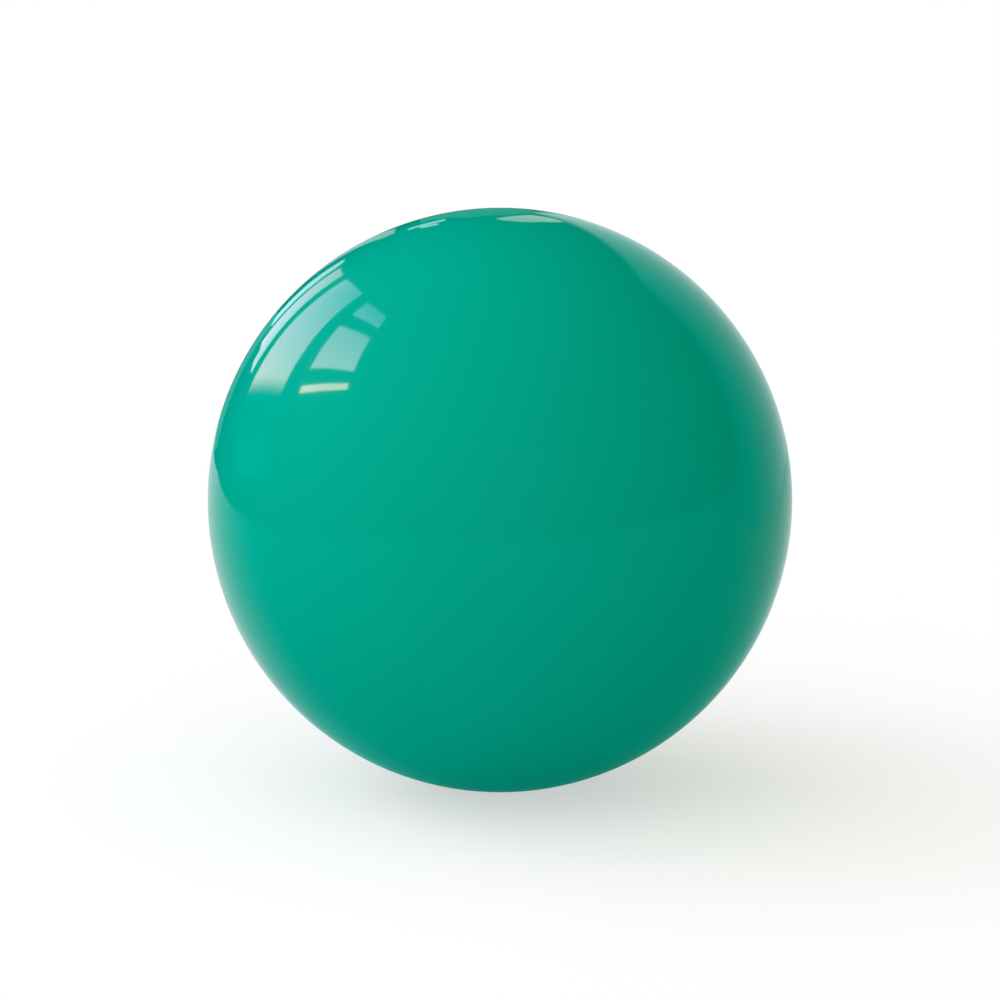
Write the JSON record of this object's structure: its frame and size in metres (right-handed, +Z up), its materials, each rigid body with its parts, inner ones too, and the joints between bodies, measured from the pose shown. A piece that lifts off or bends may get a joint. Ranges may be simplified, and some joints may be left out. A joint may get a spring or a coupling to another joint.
{
  "type": "stage juggling ball",
  "caption": "Hollow, thick-walled glossy ball of soft plastic for juggling on stage, with an air valve in its wall that a flush push-in stopper closes.",
  "frame": {"origin": "centre of the ball", "axes": "+Z up as the ball stands in the picture, +Y away from the camera, +X to the right; the valve's axis lies in the YZ plane, 60 degrees above +Y"},
  "size_m": [0.1, 0.1, 0.0999],
  "materials": {
    "green_pvc": "polished",
    "collar_rubber": "matte",
    "stopper_pvc": "satin"
  },
  "bodies": {
    "ball": {"ball_shell": "green_pvc", "valve_collar": "collar_rubber"},
    "stopper": {"valve_stopper": "stopper_pvc"}
  },
  "joints": [
    {"name": "stopper_pull", "type": "slide", "parent": "ball", "child": "stopper", "axis": [0, 0.5, 0.866], "range_m": [0, 0.016]}
  ]
}
